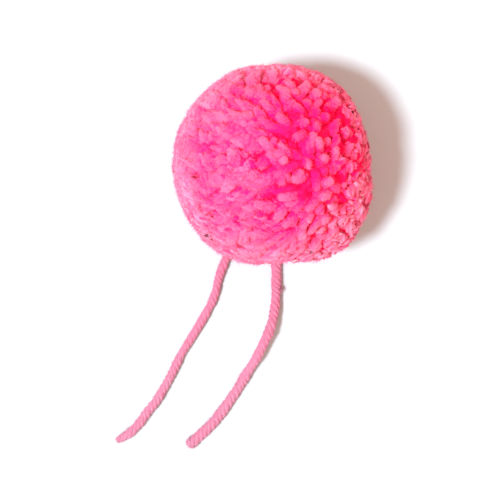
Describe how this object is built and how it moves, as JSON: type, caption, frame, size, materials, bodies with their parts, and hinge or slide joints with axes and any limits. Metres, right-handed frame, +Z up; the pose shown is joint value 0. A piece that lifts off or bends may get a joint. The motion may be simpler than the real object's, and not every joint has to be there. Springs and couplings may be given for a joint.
{
  "type": "yarn pom pom",
  "caption": "Round clipped ball of cut yarn, tied at its middle, with two loose tie ends to fasten it on.",
  "frame": {"origin": "on the table, under the middle of the ball", "axes": "+Z up from the table, -Y towards the loose tie ends, -X towards the end of the left tie end"},
  "size_m": [0.0857, 0.1283, 0.0635],
  "materials": {
    "pink_yarn": "soft fuzzy cut yarn",
    "pink_tie_yarn": "plied yarn with a light fuzz"
  },
  "bodies": {
    "root": {"pompom": "pink_yarn", "tie_end_left": "pink_tie_yarn", "tie_end_right": "pink_tie_yarn"}
  },
  "joints": []
}
